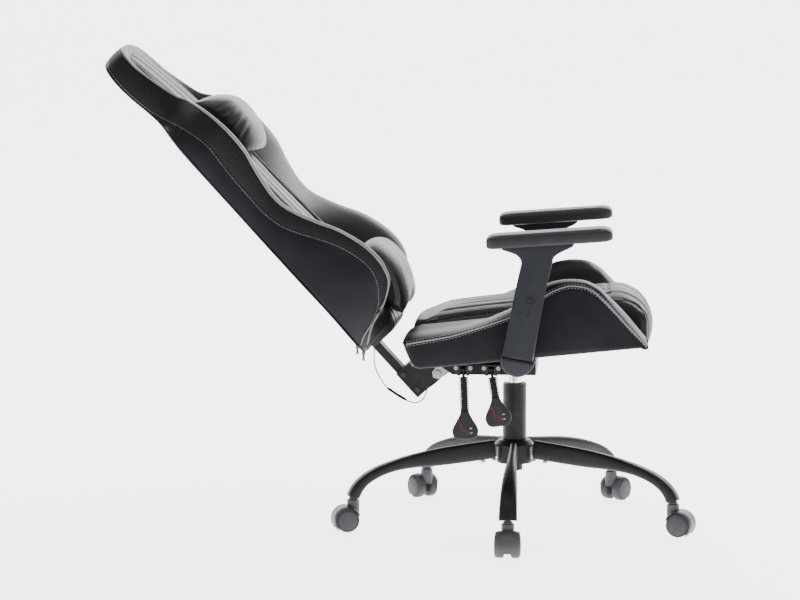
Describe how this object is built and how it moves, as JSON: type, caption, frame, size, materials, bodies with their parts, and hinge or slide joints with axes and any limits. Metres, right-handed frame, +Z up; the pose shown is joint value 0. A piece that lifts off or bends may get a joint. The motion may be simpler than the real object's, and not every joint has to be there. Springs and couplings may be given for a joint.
{
  "type": "gaming chair",
  "caption": "Reclining gaming chair with bucket seat, winged backrest, head and lumbar pillows, height-adjustable arms, gas lift and swivel base on twin-wheel casters.",
  "frame": {"origin": "on the floor, on the axis of the gas lift, the middle of the five casters", "axes": "+X towards the front of the seat, +Y towards the sitter's left, +Z up"},
  "size_m": [1.2184, 0.75, 0.9909],
  "materials": {
    "steel_black": "satin",
    "fastener": "satin",
    "chrome": "polished",
    "brass": "satin",
    "black_plastic": "matte",
    "caster_nylon": "matte",
    "sleeve_rubber": "matte",
    "arm_plastic": "matte",
    "arm_pad_pu": "matte",
    "pan_board": "matte",
    "leather_black": "satin",
    "leather_panel": "satin",
    "pillow_leather": "satin",
    "weave_band": "matte",
    "piping_grey": "satin",
    "strap_elastic": "matte",
    "zip_metal": "satin",
    "cord_black": "satin"
  },
  "bodies": {
    "base": {"base_hub": "steel_black", "base_leg_1": "steel_black", "base_leg_2": "steel_black", "base_leg_3": "steel_black", "base_leg_4": "steel_black", "base_leg_5": "steel_black", "leg_bolts": "fastener", "caster_stems": "fastener", "column_tube": "steel_black", "column_bush": "black_plastic"},
    "caster_hood_1": {"caster_hood_1": "caster_nylon"},
    "caster_wheels_1": {"caster_wheels_1": "caster_nylon"},
    "caster_hood_2": {"caster_hood_2": "caster_nylon"},
    "caster_wheels_2": {"caster_wheels_2": "caster_nylon"},
    "caster_hood_3": {"caster_hood_3": "caster_nylon"},
    "caster_wheels_3": {"caster_wheels_3": "caster_nylon"},
    "caster_hood_4": {"caster_hood_4": "caster_nylon"},
    "caster_wheels_4": {"caster_wheels_4": "caster_nylon"},
    "caster_hood_5": {"caster_hood_5": "caster_nylon"},
    "caster_wheels_5": {"caster_wheels_5": "caster_nylon"},
    "lift": {"lift_cylinder": "chrome"},
    "valve": {"valve_pin": "brass"},
    "seat": {"mechanism_tray": "steel_black", "recline_ears": "fastener", "recline_pin": "fastener", "mechanism_bolts": "fastener", "lever_collars": "black_plastic", "seat_pan": "pan_board", "seat_cushion": "leather_panel", "seat_bolster_right": "leather_black", "seat_bolster_left": "leather_black", "arm_bracket_right": "steel_black", "arm_bracket_left": "steel_black", "arm_cover_right": "black_plastic", "arm_cover_left": "black_plastic"},
    "lift_lever": {"lift_lever_rod": "fastener", "lift_lever_sleeve": "sleeve_rubber", "lift_lever_paddle": "black_plastic"},
    "recline_lever": {"recline_lever_rod": "fastener", "recline_lever_sleeve": "sleeve_rubber", "recline_lever_paddle": "black_plastic"},
    "back": {"back_spine": "steel_black", "back_bracket": "steel_black", "clamp_bolts": "fastener", "back_shell": "leather_black", "back_cushion": "leather_panel", "back_bolster_right": "leather_black", "back_bolster_left": "leather_black", "head_pillow": "pillow_leather", "lumbar_pillow": "pillow_leather", "pillow_straps": "strap_elastic", "zip_pulls": "zip_metal", "cord": "cord_black", "cord_joiner": "cord_black"},
    "arm_right": {"arm_sleeve_right": "arm_plastic", "arm_pad_right": "arm_pad_pu"},
    "button_right": {"arm_button_right": "black_plastic"},
    "arm_left": {"arm_sleeve_left": "arm_plastic", "arm_pad_left": "arm_pad_pu"},
    "button_left": {"arm_button_left": "black_plastic"}
  },
  "joints": [
    {"name": "caster_swivel_1", "type": "hinge", "parent": "base", "child": "caster_hood_1", "pos_m": [0, -0.35, 0.0655], "axis": [0, 0, 1], "continuous": true},
    {"name": "caster_roll_1", "type": "hinge", "parent": "caster_hood_1", "child": "caster_wheels_1", "pos_m": [0, -0.366, 0.025], "axis": [1, 0, 0], "continuous": true},
    {"name": "caster_swivel_2", "type": "hinge", "parent": "base", "child": "caster_hood_2", "pos_m": [0.33287, -0.10816, 0.0655], "axis": [0, 0, 1], "continuous": true},
    {"name": "caster_roll_2", "type": "hinge", "parent": "caster_hood_2", "child": "caster_wheels_2", "pos_m": [0.34809, -0.1131, 0.025], "axis": [0.309, 0.9511, 0], "continuous": true},
    {"name": "caster_swivel_3", "type": "hinge", "parent": "base", "child": "caster_hood_3", "pos_m": [0.20572, 0.28316, 0.0655], "axis": [0, 0, 1], "continuous": true},
    {"name": "caster_roll_3", "type": "hinge", "parent": "caster_hood_3", "child": "caster_wheels_3", "pos_m": [0.21513, 0.2961, 0.025], "axis": [-0.809, 0.5878, 0], "continuous": true},
    {"name": "caster_swivel_4", "type": "hinge", "parent": "base", "child": "caster_hood_4", "pos_m": [-0.20572, 0.28316, 0.0655], "axis": [0, 0, 1], "continuous": true},
    {"name": "caster_roll_4", "type": "hinge", "parent": "caster_hood_4", "child": "caster_wheels_4", "pos_m": [-0.21513, 0.2961, 0.025], "axis": [-0.809, -0.5878, 0], "continuous": true},
    {"name": "caster_swivel_5", "type": "hinge", "parent": "base", "child": "caster_hood_5", "pos_m": [-0.33287, -0.10816, 0.0655], "axis": [0, 0, 1], "continuous": true},
    {"name": "caster_roll_5", "type": "hinge", "parent": "caster_hood_5", "child": "caster_wheels_5", "pos_m": [-0.34809, -0.1131, 0.025], "axis": [0.309, -0.9511, 0], "continuous": true},
    {"name": "lift_height", "type": "slide", "parent": "base", "child": "lift", "axis": [0, 0, 1], "range_m": [0, 0.08]},
    {"name": "seat_swivel", "type": "hinge", "parent": "lift", "child": "seat", "pos_m": [0, 0, 0.35], "axis": [0, 0, 1], "continuous": true},
    {"name": "lift_lever_pull", "type": "hinge", "parent": "seat", "child": "lift_lever", "pos_m": [-0.045, -0.105, 0.342], "axis": [-1, 0, 0], "range_deg": [0, 25], "stiffness_Nm_per_rad": 0.6},
    {"name": "valve_press", "type": "slide", "parent": "lift", "child": "valve", "axis": [0, 0, -1], "range_m": [0, 0.003]},
    {"name": "recline_lever_pull", "type": "hinge", "parent": "seat", "child": "recline_lever", "pos_m": [-0.103, -0.105, 0.342], "axis": [-1, 0, 0], "range_deg": [0, 25], "stiffness_Nm_per_rad": 0.6},
    {"name": "back_recline", "type": "hinge", "parent": "seat", "child": "back", "pos_m": [-0.162, 0, 0.322], "axis": [0, 1, 0], "range_deg": [-2, 36]},
    {"name": "arm_height_right", "type": "slide", "parent": "seat", "child": "arm_right", "axis": [0.1736, 0, 0.9848], "range_m": [0, 0.07]},
    {"name": "arm_button_press_right", "type": "slide", "parent": "arm_right", "child": "button_right", "axis": [0, 1, 0], "range_m": [0, 0.0035], "stiffness_N_per_m": 300},
    {"name": "arm_height_left", "type": "slide", "parent": "seat", "child": "arm_left", "axis": [0.1736, 0, 0.9848], "range_m": [0, 0.07]},
    {"name": "arm_button_press_left", "type": "slide", "parent": "arm_left", "child": "button_left", "axis": [0, -1, 0], "range_m": [0, 0.0035], "stiffness_N_per_m": 300}
  ],
  "couplings": [
    {"joint": "valve_press", "follows": "lift_lever_pull", "m_per_rad": 0.0068}
  ]
}
